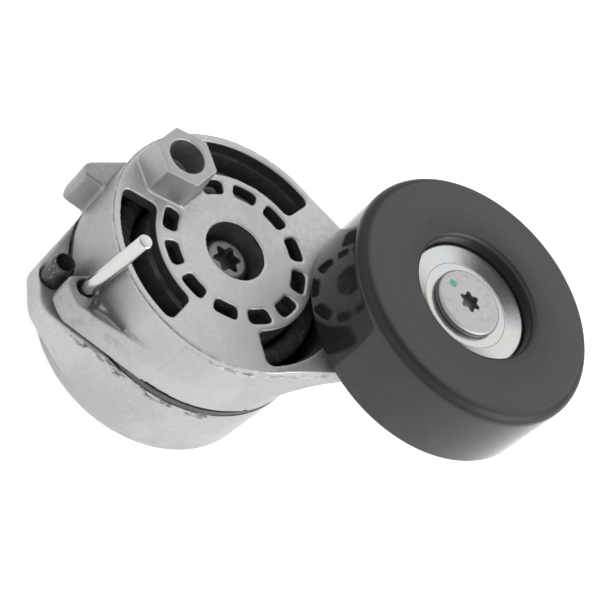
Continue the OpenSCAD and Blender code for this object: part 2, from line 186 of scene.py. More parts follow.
def lathe(name, outline, centre=(0.0, 0.0), steps=192, start=0.0, sweep=360.0):
    """A closed outline of (radius, height) points turned round an upright axis."""
    bm = bmesh.new()
    whole = sweep == 360.0
    count = steps if whole else steps + 1
    rings = []
    for i in range(count):
        a = math.radians(start + sweep * i / steps)
        rings.append([bm.verts.new((centre[0] + r * math.cos(a), centre[1] + r * math.sin(a), z))
                      for r, z in outline])
    for i in range(steps):
        here, there = rings[i], rings[(i + 1) % count]
        for j in range(len(outline)):
            k = (j + 1) % len(outline)
            bm.faces.new((here[j], there[j], there[k], here[k]))
    if not whole:
        bm.faces.new(rings[0])
        bm.faces.new(rings[-1][::-1])
    bmesh.ops.remove_doubles(bm, verts=bm.verts, dist=1e-5)
    bmesh.ops.dissolve_degenerate(bm, edges=bm.edges, dist=1e-5)
    return new_object(name, bm)


def prism(outline, low, high, name="tool"):
    """An upright prism over a plan outline."""
    bm = bmesh.new()
    bottom = [bm.verts.new((x, y, low)) for x, y in outline]
    top = [bm.verts.new((x, y, high)) for x, y in outline]
    bm.faces.new(bottom[::-1])
    bm.faces.new(top)
    for i in range(len(outline)):
        k = (i + 1) % len(outline)
        bm.faces.new((bottom[i], bottom[k], top[k], top[i]))
    return new_object(name, bm)


def six_lobes(centre, radius, turn, steps=96):
    """Plan of a six-lobed driver socket, turned by an angle in degrees."""
    points = []
    for i in range(steps):
        a = math.tau * i / steps
        r = radius * (0.84 + 0.16 * math.cos(6 * a))
        heading = a + math.radians(turn)
        points.append((centre[0] + r * math.cos(heading), centre[1] + r * math.sin(heading)))
    return points


def cut_socket(bolt, centre, high, socket):
    """Cuts a driver socket of (radius, depth, turn) into the top of a bolt."""
    radius, depth, turn = socket
    combine(bolt, prism(six_lobes(centre, radius, turn), high - depth, high + 1), "DIFFERENCE")


def apply_modifiers(obj):
    """Puts what the modifiers make into the object's own mesh."""
    depsgraph = bpy.context.evaluated_depsgraph_get()
    mesh = bpy.data.meshes.new_from_object(obj.evaluated_get(depsgraph), depsgraph=depsgraph)
    obj.modifiers.clear()
    old = obj.data
    obj.data = mesh
    bpy.data.meshes.remove(old)


def combine(obj, tool, operation):
    """Joins or cuts obj with tool, and removes tool."""
    step = obj.modifiers.new("combine", "BOOLEAN")
    step.operation = operation
    step.solver = "EXACT"
    step.object = tool
    apply_modifiers(obj)
    mesh = tool.data
    bpy.data.objects.remove(tool)
    bpy.data.meshes.remove(mesh)


def put(obj, body, slot, material, *nodes, sharp=32.0):
    """Finishes a piece: smooth shading, material, body and the CAD nodes it stands for, which it hides. The slot
    is not used.
    """
    obj.data.polygons.foreach_set("use_smooth", [True] * len(obj.data.polygons))
    if sharp:
        obj.data.set_sharp_from_angle(angle=math.radians(sharp))
    obj.data.materials.clear()
    obj.data.materials.append(material)
    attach(obj, body)
    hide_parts(*nodes)
    return obj


# ================= castings =================

def neighbour_mean(co, edges, degree):
    """Mean place of each point's neighbours."""
    total = np.empty_like(co)
    for axis in range(3):
        total[:, axis] = np.bincount(edges[:, 0], co[edges[:, 1], axis], len(co))
        total[:, axis] += np.bincount(edges[:, 1], co[edges[:, 0], axis], len(co))
    return total / degree[:, None]


def read_mesh(mesh):
    """Places in mm, edges and how many edges meet at each point."""
    co = np.empty(len(mesh.vertices) * 3)
    mesh.vertices.foreach_get("co", co)
    edges = np.empty(len(mesh.edges) * 2, int)
    mesh.edges.foreach_get("vertices", edges)
    edges = edges.reshape(-1, 2)
    return co.reshape(-1, 3) / MM, edges, np.bincount(edges.ravel(), minlength=len(mesh.vertices))


def write_places(mesh, co):
    """Moves a mesh's points to places in mm."""
    mesh.vertices.foreach_set("co", (co * MM).ravel())
    mesh.update()


def normals_of(mesh):
    out = np.empty(len(mesh.vertices) * 3)
    mesh.vertex_normals.foreach_get("vector", out)
    return out.reshape(-1, 3)


def smooth_step(value, low, high):
    """0 at low and 1 at high."""
    t = np.clip((value - low) / (high - low), 0, 1)
    return t * t * (3 - 2 * t)


def band(value, low, high, soft):
    """1 between low and high, falling to 0 over soft on each side."""
    return smooth_step(value, low - soft, low) * (1 - smooth_step(value, high, high + soft))


def grain(co, scale, octaves=3, shift=0.0):
    """Fractal noise, about -1 to 1, at places in mm."""
    falloff, lacunarity = 0.9, 2.1
    offset = Vector((shift, 0, 0))
    return np.array([noise.fractal(Vector(p) * scale + offset, falloff, lacunarity, octaves) for p in co])


def cast_piece(name, node, soft_area, rough_area, flash):
    """A CAD node remade as a casting: rounded edges, uneven skin and ragged flash.

    soft_area(co) gives 0 to 1 where edges are rounder, rough_area(co) 0 to 1 where flash is torn off.
    flash is how far the torn skin stands up and how far it is sunk, in mm."""
    mesh = NODES[node].data.copy()
    obj = bpy.data.objects.new(name, mesh)
    bpy.context.scene.collection.objects.link(obj)
    bm = bmesh.new()
    bm.from_mesh(mesh)
    bmesh.ops.remove_doubles(bm, verts=bm.verts, dist=WELD * MM)
    bm.to_mesh(mesh)
    bm.free()
    remesh = obj.modifiers.new("voxels", "REMESH")
    remesh.mode = "VOXEL"
    remesh.voxel_size = CAST_VOXEL * MM
    apply_modifiers(obj)

    co, edges, degree = read_mesh(obj.data)
    soft = soft_area(co)
    for turn in range(SOFT_TURNS):
        weight = 0.5 if turn < EVEN_TURNS else 0.5 * soft[:, None]
        co = co + weight * (neighbour_mean(co, edges, degree) - co)
    write_places(obj.data, co)

    fewer = obj.modifiers.new("fewer", "DECIMATE")
    fewer.ratio = min(1.0, CAST_FACES / (2 * len(obj.data.polygons)))
    apply_modifiers(obj)

    co, edges, degree = read_mesh(obj.data)
    normal = normals_of(obj.data)
    rough = rough_area(co)
    torn = np.zeros(len(co))
    picked = np.nonzero(rough > 0.01)[0]
    torn[picked] = grain(co[picked], 0.5, 2) * rough[picked]
    skin = grain(co, 0.11, 2, 7.0)
    lift = np.interp(torn, (-0.4, 0.0, 0.4), (-flash[1], 0.0, flash[0]))
    write_places(obj.data, co + normal * (SKIN_DEPTH * (skin - 1) + lift)[:, None])

    co, edges, degree = read_mesh(obj.data)
    normal = normals_of(obj.data)
    mean = co.copy()
    for _ in range(EDGE_TURNS):
        mean = mean + 0.6 * (neighbour_mean(mean, edges, degree) - mean)
    edge = ((co - mean) * normal).sum(1)
    for field, value in (("edge", edge), ("torn", rough)):
        layer = obj.data.attributes.new(field, "FLOAT", "POINT")
        layer.data.foreach_set("value", value.astype(np.float32))
    return obj


# ================= materials =================

class Finish:
    """A procedural material on the Principled shader. Patterns use the piece's own places, in mm."""

    def __init__(self, name, rough, metal=0.0, specular=0.5):
        self.material = bpy.data.materials.new(name)
        self.material.use_nodes = True
        self.nodes = self.material.node_tree.nodes
        self.links = self.material.node_tree.links
        self.shader = self.nodes["Principled BSDF"]
        self.shader.inputs["Roughness"].default_value = rough
        self.shader.inputs["Metallic"].default_value = metal
        self.shader.inputs["Specular IOR Level"].default_value = specular
        scale = self.add("ShaderNodeVectorMath", operation="SCALE")
        scale.inputs["Scale"].default_value = 1 / MM
        self.link(self.add("ShaderNodeTexCoord").outputs["Object"], scale.inputs[0])
        self.place = scale.outputs[0]

    def add(self, kind, **settings):
        node = self.nodes.new(kind)
        for key, value in settings.items():
            setattr(node, key, value)
        return node

    def link(self, value, socket):
        if isinstance(value, bpy.types.NodeSocket):
            self.links.new(value, socket)
        else:
            socket.default_value = value

    def math(self, operation, a, b=0.0, clamp=False):
        node = self.add("ShaderNodeMath", operation=operation, use_clamp=clamp)
        self.link(a, node.inputs[0])
        self.link(b, node.inputs[1])
        return node.outputs[0]

    def moved(self, centre=(0, 0, 0), stretch=(1, 1, 1)):
        """Places measured from centre and stretched, for patterns with a direction."""
        node = self.add("ShaderNodeMapping", vector_type="POINT")
        self.link(self.place, node.inputs["Vector"])
        node.inputs["Location"].default_value = [-c * s for c, s in zip(centre, stretch)]
        node.inputs["Scale"].default_value = stretch
        return node.outputs[0]

    def axes(self, centre=(0, 0, 0)):
        """x, y, z, radius and angle in degrees round an upright axis at centre."""
        node = self.add("ShaderNodeSeparateXYZ")
        self.link(self.moved(centre), node.inputs[0])
        x, y, z = node.outputs
        squares = self.math("ADD", self.math("MULTIPLY", x, x), self.math("MULTIPLY", y, y))
        radius = self.math("SQRT", squares)
        angle = self.math("MULTIPLY", self.math("ARCTAN2", y, x), 180 / math.pi)
        return x, y, z, radius, angle

    def rings(self, centre, across, along):
        """Places unrolled round an upright axis: stretched across and along the turning direction."""
        _, _, z, radius, angle = self.axes(centre)
        node = self.add("ShaderNodeCombineXYZ")
        self.link(self.math("MULTIPLY", radius, across), node.inputs[0])
        self.link(self.math("MULTIPLY", angle, along), node.inputs[1])
        self.link(self.math("MULTIPLY", z, across), node.inputs[2])
        return node.outputs[0]

    def noise(self, scale, detail=3.0, rough=0.55, distortion=0.0, place=None):
        node = self.add("ShaderNodeTexNoise")
        self.link(place or self.place, node.inputs["Vector"])
        for key, value in (("Scale", scale), ("Detail", detail), ("Roughness", rough),
                           ("Distortion", distortion)):
            node.inputs[key].default_value = value
        return node.outputs["Fac"]

    def cells(self, scale, place=None):
        """Distance to the nearest of a set of scattered points."""
        node = self.add("ShaderNodeTexVoronoi")
        self.link(place or self.place, node.inputs["Vector"])
        node.inputs["Scale"].default_value = scale
        return node.outputs["Distance"]

    def spread(self, value, low, high, to_low=0.0, to_high=1.0):
        """A smooth step from to_low at low to to_high at high."""
        node = self.add("ShaderNodeMapRange", interpolation_type="SMOOTHSTEP", clamp=True)
        self.link(value, node.inputs["Value"])
        for key, number in (("From Min", low), ("From Max", high),
                            ("To Min", to_low), ("To Max", to_high)):
            node.inputs[key].default_value = number
        return node.outputs["Result"]

    def band(self, value, low, high, soft):
        """1 between low and high, falling to 0 over soft on each side."""
        rise = self.spread(value, low - soft, low)
        return self.math("MULTIPLY", rise, self.spread(value, high, high + soft, 1.0, 0.0))

    def both(self, *values):
        out = values[0]
        for value in values[1:]:
            out = self.math("MULTIPLY", out, value)
        return out

    def field(self, name):
        return self.add("ShaderNodeAttribute", attribute_name=name).outputs["Fac"]

    def mix(self, factor, a, b):
        """Colour a at factor 0, b at factor 1."""
        node = self.add("ShaderNodeMix", data_type="RGBA")
        self.link(factor, node.inputs[0])
        for value, socket in ((a, node.inputs[6]), (b, node.inputs[7])):
            self.link((*value, 1.0) if isinstance(value, tuple) else value, socket)
        return node.outputs[2]

    def colour(self, value):
        self.links.new(value, self.shader.inputs["Base Color"])

    def roughness(self, value):
        self.links.new(value, self.shader.inputs["Roughness"])

    def bump(self, *layers):
        """Layers of (height, depth in mm), each lying on the one before."""
        normal = None
        for height, depth in layers:
            node = self.add("ShaderNodeBump")
            node.inputs["Distance"].default_value = depth * MM
            self.link(height, node.inputs["Height"])
            if normal:
                self.links.new(normal, node.inputs["Normal"])
            normal = node.outputs["Normal"]
        self.links.new(normal, self.shader.inputs["Normal"])


def grey(level, warm=0.0):
    """A grey, a little warmer or cooler."""
    return (level * (1 + warm), level, level * (1 - warm))


def cast_skin(name, level, warm):
    """Die-cast aluminium: mottled, finely grained, light on its edges, with painted shade in its hollow corners.
    """
    f = Finish(name, 0.5, metal=0.85)
    patches = f.noise(0.05, 4, 0.6, 0.6)
    clouds = f.noise(0.3, 4, 0.6, 0.3)
    flecks = f.noise(1.6, 3, 0.6)
    dull, bright = grey(level * 0.93, warm), grey(level * 1.05, warm * 0.4)
    colour = f.mix(f.spread(patches, 0.35, 0.65), dull, bright)
    colour = f.mix(f.spread(clouds, 0.56, 0.78, 0, 0.45), colour, grey(level * 0.78, warm))
    colour = f.mix(f.spread(flecks, 0.6, 0.8, 0, 0.3), colour, grey(level * 1.2))
    pits = f.both(f.spread(f.cells(0.75), 0.05, 0.12, 1, 0), f.spread(clouds, 0.5, 0.6))
    colour = f.mix(f.both(pits, 0.55), colour, grey(level * 0.3))
    edge = f.field("edge")
    worn = f.both(f.spread(edge, 0.06, 0.17, 0, 0.3), f.spread(f.field("torn"), 0.05, 0.3, 1, 0))
    colour = f.mix(worn, colour, grey(level * 1.2))
    # Painted shade: hollow corners and creases are darkened
    colour = f.mix(f.spread(edge, -0.14, -0.03, 0.5, 0), colour, grey(level * 0.42, warm))
    f.roughness(f.spread(f.noise(0.8, 3), 0.3, 0.7, 0.42, 0.56))
    f.bump((f.noise(2.4, 3, 0.6), 0.05), (f.noise(7.0, 2, 0.6), 0.02), (pits, -0.05))
    return f, colour


def arm_skin():
    f, colour = cast_skin("cast_arm", 0.44, 0.0)
    x, _, z, radius, angle = f.axes()
    face, low = arm_face(), floor_of("arm_housing")
    # Torn flash under the face's edge: its dark patches are painted shadow, and it is bright where the metal is
    # fresh
    torn = f.field("torn")
    tears = f.noise(1.0, 4, 0.7, 0.8, f.rings((0, 0, 0), 0.8, 0.2))
    colour = f.mix(f.both(torn, f.spread(tears, 0.52, 0.57, 0, 0.85)), colour, grey(0.1))
    colour = f.mix(f.both(torn, f.spread(tears, 0.4, 0.46, 0.7, 0)), colour, grey(0.58))
    # Fine line of painted shade where the face meets the drum's side
    rim = f.both(f.band(radius, DRUM_R - 0.45, DRUM_R - 0.05, 0.12),
                 f.spread(z, face - 0.6, face - 0.3), f.spread(x, 14, 20, 1, 0))
    colour = f.mix(f.both(rim, f.spread(f.noise(0.5), 0.35, 0.55, 0.35, 0.9)), colour, grey(0.13))
    # Painted shade on the walls of the windows and slots, darker in the pivot's opening
    window_shade = f.both(f.spread(radius, WINDOW_R, WINDOW_R + 0.4, 1, 0),
                    f.spread(z, face - 0.75, face - 0.4, 1, 0))
    colour = f.mix(f.both(window_shade, 0.94), colour, grey(0.07))
    opening_shade = f.both(f.spread(radius, PIVOT_OPENING_R + 0.4, PIVOT_OPENING_R + 0.7, 1, 0),
                  f.spread(z, face - 0.6, face - 0.3, 1, 0))
    colour = f.mix(f.both(opening_shade, 0.97), colour, grey(0.03))
    # Painted shade on the underside above the base, higher along the drum's machined edge
    raised = f.both(f.spread(angle, -107, -106, 0, EDGE_RISE), f.spread(angle, -13, -12, 1, 0))
    above = f.math("SUBTRACT", z, f.math("ADD", raised, low))
    under_shade = f.both(f.spread(above, 0.25, 0.5, 1, 0), f.spread(radius, DRUM_R + 0.3, DRUM_R + 0.6, 1, 0))
    colour = f.mix(f.both(under_shade, 0.95), colour, grey(0.02))
    # Painted shade in the hexagon's blind hole, made patchy
    hole, hole_r = hexagon_hole()
    _, _, hole_z, hole_radius, _ = f.axes((hole.x, hole.y, 0))
    hole_shade = f.both(f.spread(hole_radius, hole_r - 0.1, hole_r + 0.25, 1, 0),
                  f.spread(hole_z, hole.z - 0.7, hole.z - 0.2, 1, 0))
    dust_and_shade_patches = f.spread(f.noise(0.5, 4, 0.7, 0.6), 0.4, 0.65, 0.9, 0.65)
    colour = f.mix(f.both(hole_shade, dust_and_shade_patches), colour, grey(0.2))
    # Painted light: the flat face is lighter, most of all towards the pulley
    lit_face = f.both(f.spread(z, face - 0.35, face - 0.1), f.spread(z, face + 0.2, face + 0.5, 0.4, 0))
    colour = f.mix(lit_face, colour, grey(0.6))
    colour = f.mix(f.both(lit_face, f.spread(x, 4, 20, 0, 0.8)), colour, grey(0.72))
    # Painted shade on the drum's side towards the hexagon, and on the hexagon
    left_side_shade = f.both(f.spread(x, -36, -8, 0.42, 0), f.spread(z, face - 1.2, face - 0.6, 1, 0))
    colour = f.mix(left_side_shade, colour, grey(0.2))
    # Painted shade: the hexagon above the face is darker
    colour = f.mix(f.spread(z, face + 0.3, face + 1.0, 0, 0.22), colour, grey(0.22))
    # Handling marks on the stop lug and the ear
    marks = f.spread(f.noise(0.22, 5, 0.7, 1.2), 0.5, 0.62, 0, 0.4)
    ears = f.both(f.spread(radius, DRUM_R + 0.4, DRUM_R + 2.0), f.spread(x, 0, 5, 1, 0))
    colour = f.mix(f.both(ears, marks), colour, grey(0.24))
    f.colour(colour)
    return f.material


def base_skin():
    f, colour = cast_skin("cast_base", 0.44, 0.012)
    _, _, z, radius, _ = f.axes()
    # Painted shadow below the rim under the arm's edge, in ragged patches where flash was torn off
    tears = f.noise(1.0, 5, 0.7, 0.8, f.rings((0, 0, 0), 0.6, 0.16))
    colour = f.mix(f.both(f.field("torn"), f.spread(tears, 0.47, 0.54, 0, 0.9)), colour, grey(0.1))
    # Painted shade on the rim inside the gap
    rim = top_of("base_housing")
    gap_shade = f.both(f.spread(radius, DRUM_R + 0.1, DRUM_R + 0.3, 1, 0), f.spread(z, rim - 0.5, rim - 0.25))
    colour = f.mix(f.both(gap_shade, 0.95), colour, grey(0.02))
    # Faint warm flow marks
    flow = f.noise(0.14, 4, 0.6, 2.2, f.moved(stretch=(1, 1, 2.2)))
    colour = f.mix(f.spread(flow, 0.55, 0.68, 0, 0.35), colour, (0.6, 0.555, 0.52))
    f.colour(colour)
    return f.material


def zinc_skin(name, level, centre, turned, shaded_crease_r=None):
    """Bright zinc plate, with a faint blue and straw tint, fine lines and, if asked, a line of painted shade in
    the crease where it is folded.
    """
    f = Finish(name, 0.24, metal=1.0)
    tint = f.spread(f.noise(0.12, 2, 0.5, 0.8), 0.35, 0.65)
    blue, straw = (level * 0.97, level, level * 1.035), (level * 1.02, level * 1.015, level * 0.965)
    colour = f.mix(tint, blue, straw)
    colour = f.mix(f.spread(f.noise(0.5, 4, 0.65), 0.56, 0.75, 0, 0.18), colour, grey(level * 0.7))
    if shaded_crease_r:
        # Painted shade in the crease of the fold
        crease_shade = f.band(f.axes(centre)[3], shaded_crease_r - 0.05, shaded_crease_r + 0.05, 0.12)
        colour = f.mix(f.both(crease_shade, 0.75), colour, grey(level * 0.3))
    f.colour(colour)
    place = f.rings(centre, 7.0, 0.05) if turned else f.moved(stretch=(6, 6, 0.3))
    lines = f.noise(1.0, 3, 0.6, 0.0, place)
    f.roughness(f.spread(lines, 0.3, 0.7, 0.17, 0.24))
    f.bump((lines, 0.002), (f.noise(0.6, 2), 0.02))
    return f.material


def flake_skin(name, level, centre, paint=None):
    """Zinc flake paint on a bolt: a fine sparkle of grey, with an inspector's paint dot if asked."""
    f = Finish(name, 0.44, metal=0.75)
    fine = f.noise(5.0, 3, 0.7)
    colour = f.mix(f.spread(fine, 0.35, 0.65), grey(level * 0.85), grey(level * 1.15))
    stains = f.spread(f.noise(0.55, 4, 0.65, 0.5), 0.52, 0.7, 0, 0.45)
    colour = f.mix(stains, colour, grey(level * 0.55))
    _, _, z, radius, _ = f.axes(centre)
    # Painted shade on the walls of the driver socket
    socket = f.both(f.spread(radius, 4.1, 4.4, 1, 0), f.spread(z, -0.5, -0.2, 1, 0))
    colour = f.mix(f.both(socket, 0.85), colour, grey(level * 0.2))
    # Painted shade on the head's outer edge, below its top
    side = f.both(f.spread(radius, 5.0, 5.4), f.spread(z, -0.75, -0.25, 1, 0))
    colour = f.mix(f.both(side, 0.75), colour, grey(level * 0.3))
    if paint:
        spot = f.axes((centre[0] + paint[0], centre[1] + paint[1], centre[2]))[3]
        wobble = f.math("ADD", spot, f.spread(f.noise(1.2), 0.3, 0.7, -0.12, 0.12))
        colour = f.mix(f.spread(wobble, SPOT_R - 0.12, SPOT_R, 1, 0), colour, (0.12, 0.33, 0.25))
    f.colour(colour)
    f.roughness(f.spread(f.noise(1.5, 3), 0.3, 0.7, 0.38, 0.55))
    f.bump((fine, 0.03), (f.noise(1.3, 3), 0.03))
    return f.material


def pulley_skin():
    """Moulded black polymer: polished belt surface, satin face with faint turning rings."""
    centre = middle("pulley")
    axis = (centre.x, centre.y, 0)
    outer, high = span("pulley").x / 2, top_of("pulley")
    f = Finish("pulley_black", 0.3)
    _, _, z, radius, _ = f.axes(axis)
    side = f.both(f.spread(radius, outer - 0.7, outer - 0.1), f.spread(z, high - 3.2, high - 2.2, 1, 0))
    rings = f.noise(1.0, 3, 0.6, 0.0, f.rings(axis, 2.2, 0.012))
    haze = f.noise(0.12, 4, 0.6, 1.0)
    face = f.mix(f.spread(radius, 20, 31), grey(0.019), grey(0.028))
    colour = f.mix(side, face, grey(0.016))
    colour = f.mix(f.spread(haze, 0.5, 0.7, 0, 0.35), colour, grey(0.036))
    dust_and_shade_patches = f.both(f.spread(f.cells(0.28), 0.015, 0.04, 1, 0), f.spread(haze, 0.45, 0.5))
    colour = f.mix(f.both(dust_and_shade_patches, 0.35), colour, grey(0.3))
    # Painted shade in the throat round the cap
    throat_shade = f.both(f.spread(radius, 19.5, 22.5, 1, 0), f.spread(z, high - 0.5, high - 0.02, 1, 0))
    colour = f.mix(f.both(throat_shade, 0.85), colour, grey(0.005))
    # Painted shade on the rounding between the face and the side, where the specular level is lower too
    rounding = f.both(f.spread(radius, outer - 3.0, outer - 1.8), f.spread(z, high - 3.0, high - 1.8))
    colour = f.mix(f.both(rounding, 0.6), colour, grey(0.009))
    f.link(f.spread(rounding, 0, 1, 0.45, 0.25), f.shader.inputs["Specular IOR Level"])
    f.colour(colour)
    satin = f.spread(rings, 0.3, 0.7, 0.4, 0.5)
    polish = f.spread(f.noise(0.1, 4, 0.6, 0.8), 0.35, 0.7, 0.07, 0.15)
    smooth = f.add("ShaderNodeMix", data_type="FLOAT")
    f.link(side, smooth.inputs[0])
    f.link(satin, smooth.inputs[2])
    f.link(polish, smooth.inputs[3])
    f.roughness(smooth.outputs[0])
    f.bump((rings, 0.004), (f.noise(0.5, 3), 0.006))
    return f.material


def black_skin(name, level, rough_low, rough_high, metal=0.0, scuff=0.0, grain_depth=0.02):
    """Black parts: moulded plastic, rubber, coated or oxidised steel, with scuffs where asked."""
    f = Finish(name, rough_low, metal=metal)
    cloud = f.noise(0.4, 4, 0.6, 0.4)
    colour = f.mix(f.spread(cloud, 0.35, 0.7), grey(level * 0.8), grey(level * 1.3))
    if scuff:
        scratch = f.noise(1.6, 5, 0.75, 0.6, f.moved(stretch=(1, 1, 0.35)))
        colour = f.mix(f.both(f.spread(scratch, 0.56, 0.66), scuff), colour, grey(0.45))
    f.colour(colour)
    f.roughness(f.spread(cloud, 0.3, 0.7, rough_low, rough_high))
    if grain_depth:
        f.bump((f.noise(3.0, 3), grain_depth))
    return f.material


def steel_skin(name, level, rough, centre=(0, 0, 0)):
    """Turned or ground steel."""
    f = Finish(name, rough, metal=1.0)
    lines = f.noise(1.0, 3, 0.6, 0.0, f.rings(centre, 6.0, 0.03))
    colour = f.mix(f.spread(f.noise(0.4, 3), 0.35, 0.65), grey(level * 0.85), grey(level * 1.1))
    f.colour(colour)
    f.roughness(f.spread(lines, 0.3, 0.7, rough * 0.8, rough * 1.25))
    f.bump((lines, 0.006))
    return f.material


def cage_skin():
    """Heat-stabilised polyamide of a bearing cage."""
    f = Finish("cage_polymer", 0.45)
    f.colour(f.mix(f.spread(f.noise(0.5, 3), 0.35, 0.65), (0.4, 0.27, 0.12), (0.5, 0.36, 0.2)))
    f.bump((f.noise(2.5, 3), 0.02))
    return f.material


# ================= pieces =================

def round_axis(co):
    """Radius, and angle in degrees, of places round the pivot axis."""
    return np.hypot(co[:, 0], co[:, 1]), np.degrees(np.arctan2(co[:, 1], co[:, 0]))


def build_castings():
    face = arm_face()
    rim = top_of("base_housing") - 1

    def arm_soft(co):
        radius = round_axis(co)[0]
        ears = smooth_step(radius, DRUM_R + 0.3, DRUM_R + 2.0) * (1 - smooth_step(co[:, 0], 0.0, 5.0))
        return 0.35 * ears * (1 - smooth_step(co[:, 2], 38.4, 39.5))

    def arm_torn(co):
        radius, angle = round_axis(co)
        drum = band(angle, -90, -30, 4) * smooth_step(radius, DRUM_R - 0.9, DRUM_R - 0.6)
        bridge = smooth_step(co[:, 0], 12, 16) * smooth_step(-co[:, 1], 8, 9)
        bridge = bridge * smooth_step(radius, DRUM_R - 1.0, DRUM_R - 0.4)
        wander = 0.35 * np.sin(angle * 0.31) + 0.25 * np.sin(angle * 0.83 + 1)
        return np.maximum(drum, bridge) * band(co[:, 2], face - 3.0 + wander, face - 1.7 + wander, 0.3)

    def base_soft(co):
        radius = round_axis(co)[0]
        low_half = smooth_step(-co[:, 2], -22, -20)
        return smooth_step(radius, DRUM_R - 0.4, DRUM_R + 1.0) * (0.5 + 0.5 * low_half)

    def base_torn(co):
        radius, angle = round_axis(co)
        start = rim - 1.2 - 1.3 * np.sin(angle * 0.21 + 0.6) * np.sin(angle * 0.53)
        below_edge = 1 - smooth_step(co[:, 2], rim + 0.6, rim + 0.9)
        height = smooth_step(co[:, 2], start, start + 1.0) * below_edge
        return band(angle, -136, -72, 5) * height * smooth_step(radius, DRUM_R - 1.5, DRUM_R - 1.0)

    arm = cast_piece("arm_casting", "arm_housing", arm_soft, arm_torn, (0.03, 0.07))
    put(arm, "arm", "cast_arm", arm_skin(), "arm_housing", sharp=None)
    base = cast_piece("base_casting", "base_housing", base_soft, base_torn, (0.0, 0.08))
    put(base, "base", "cast_base", base_skin(), "base_housing", sharp=None)


def build_pulley():
    centre = middle("pulley")
    low, high = floor_of("pulley"), top_of("pulley")
    outer = span("pulley").x / 2
    seat_r = span("bearing_outer_ring").x / 2
    seat_low, seat_high = floor_of("bearing_outer_ring"), top_of("bearing_outer_ring")
    web, rim_wall, hub_wall = 4.0, 4.0, 3.5
    hub_r, rim_in = seat_r + hub_wall, outer - rim_wall
    lip_r = seat_r - 1.3
    cone = 5.5
    outline = fillet([
        (rim_in, low, 0.5), (outer, low, 1.5), (outer, high, 3.6),
        (lip_r + cone, high, 20.0), (lip_r, high - 0.3, 1.6),
        (lip_r, seat_high, 0), (seat_r, seat_high, 0),
        (seat_r, seat_low - 1, 0.3), (hub_r, seat_low - 1, 0.5),
        (hub_r, high - web, 1.0), (rim_in, high - web, 1.0)], steps=10)
    pulley = lathe("idler_pulley", outline, centre, steps=288)
    ribs, rib_wall, sunk = 12, 2.0, 0.8
    middle_r, middle_z = (hub_r + rim_in) / 2, (seat_low + high - web) / 2
    size = Matrix.Diagonal((rim_in - hub_r + 2 * sunk, rib_wall, high - web - seat_low + 1, 1))
    bm = bmesh.new()
    for i in range(ribs):
        place = Matrix.Translation((centre.x, centre.y, 0))
        place = place @ Matrix.Rotation(math.tau * i / ribs, 4, "Z")
        place = place @ Matrix.Translation((middle_r, 0, middle_z))
        bmesh.ops.create_cube(bm, size=1, matrix=place @ size)
    combine(pulley, new_object("ribs", bm), "UNION")
    put(pulley, "pulley", "pulley_black", pulley_skin(), "pulley")


def build_dust_cap():
    centre = middle("dust_cap")
    low, high = floor_of("dust_cap"), top_of("dust_cap")
    outer = span("dust_cap").x / 2
    hole_r = 4.2
    outline = fillet([
        (hole_r, low, 0), (CAP_DISH_R, low, 1.0), (outer - 0.5, high - CAP_SHEET, 0.5),
        (outer, high - 0.5, 0.2), (outer, high, 0.22), (outer - 0.5, high, 0.2),
        (CAP_DISH_R - 0.3, low + CAP_SHEET, 0.9), (hole_r, low + CAP_SHEET, 0)], steps=10)
    skin = zinc_skin("cap_zinc", 0.46, (centre.x, centre.y, 0), True, CAP_DISH_R - 0.5)
    put(lathe("dished_cap", outline, centre, steps=240), "arm", "cap_zinc", skin, "dust_cap")


def shank(low, seat):
    """Outline corners of an M8 bolt's shank, from its tip to the seat of its head."""
    return [(0, low, 0), (THREAD_R - THREAD_TIP, low, 0), (THREAD_R, low + THREAD_TIP, 0),
            (THREAD_R, seat, 0)]


def build_bolts():
    # Pulley bolt: flat round head with a worn edge
    centre = middle("pulley_bolt")
    seat, high, low = floor_of("dust_cap") + CAP_SHEET, top_of("pulley_bolt"), floor_of("pulley_bolt")
    head = span("pulley_bolt").x / 2
    outline = fillet(shank(low, seat) + [(head, seat, 0.35), (head, high, 1.0), (0, high, 0)], steps=10)
    bolt = lathe("cap_bolt", outline, centre, steps=160)
    cut_socket(bolt, centre, high, PULLEY_SOCKET)
    distance, heading = SPOT_PLACE
    spot = (distance * math.cos(math.radians(heading)), distance * math.sin(math.radians(heading)))
    skin = flake_skin("bolt_head_paint", 0.44, (centre.x, centre.y, high), spot)
    put(bolt, "arm", "bolt_steel", skin, "pulley_bolt")

    # Pivot bolt: button head with a large socket
    centre = middle("pivot_bolt")
    seat, high, low = top_of("retaining_washer"), top_of("pivot_bolt"), floor_of("pivot_bolt")
    head = span("pivot_bolt").x / 2
    outline = fillet(shank(low, seat) + [(head, seat, 0.3), (head, seat + 2.6, 0.6),
                                         (head - 1.5, high, 1.2), (0, high, 0)])
    bolt = lathe("pivot_button_bolt", outline, centre, steps=160)
    cut_socket(bolt, centre, high, PIVOT_SOCKET)
    skin = flake_skin("bolt_flake", 0.23, (centre.x, centre.y, high))
    put(bolt, "base", "bolt_steel", skin, "pivot_bolt")


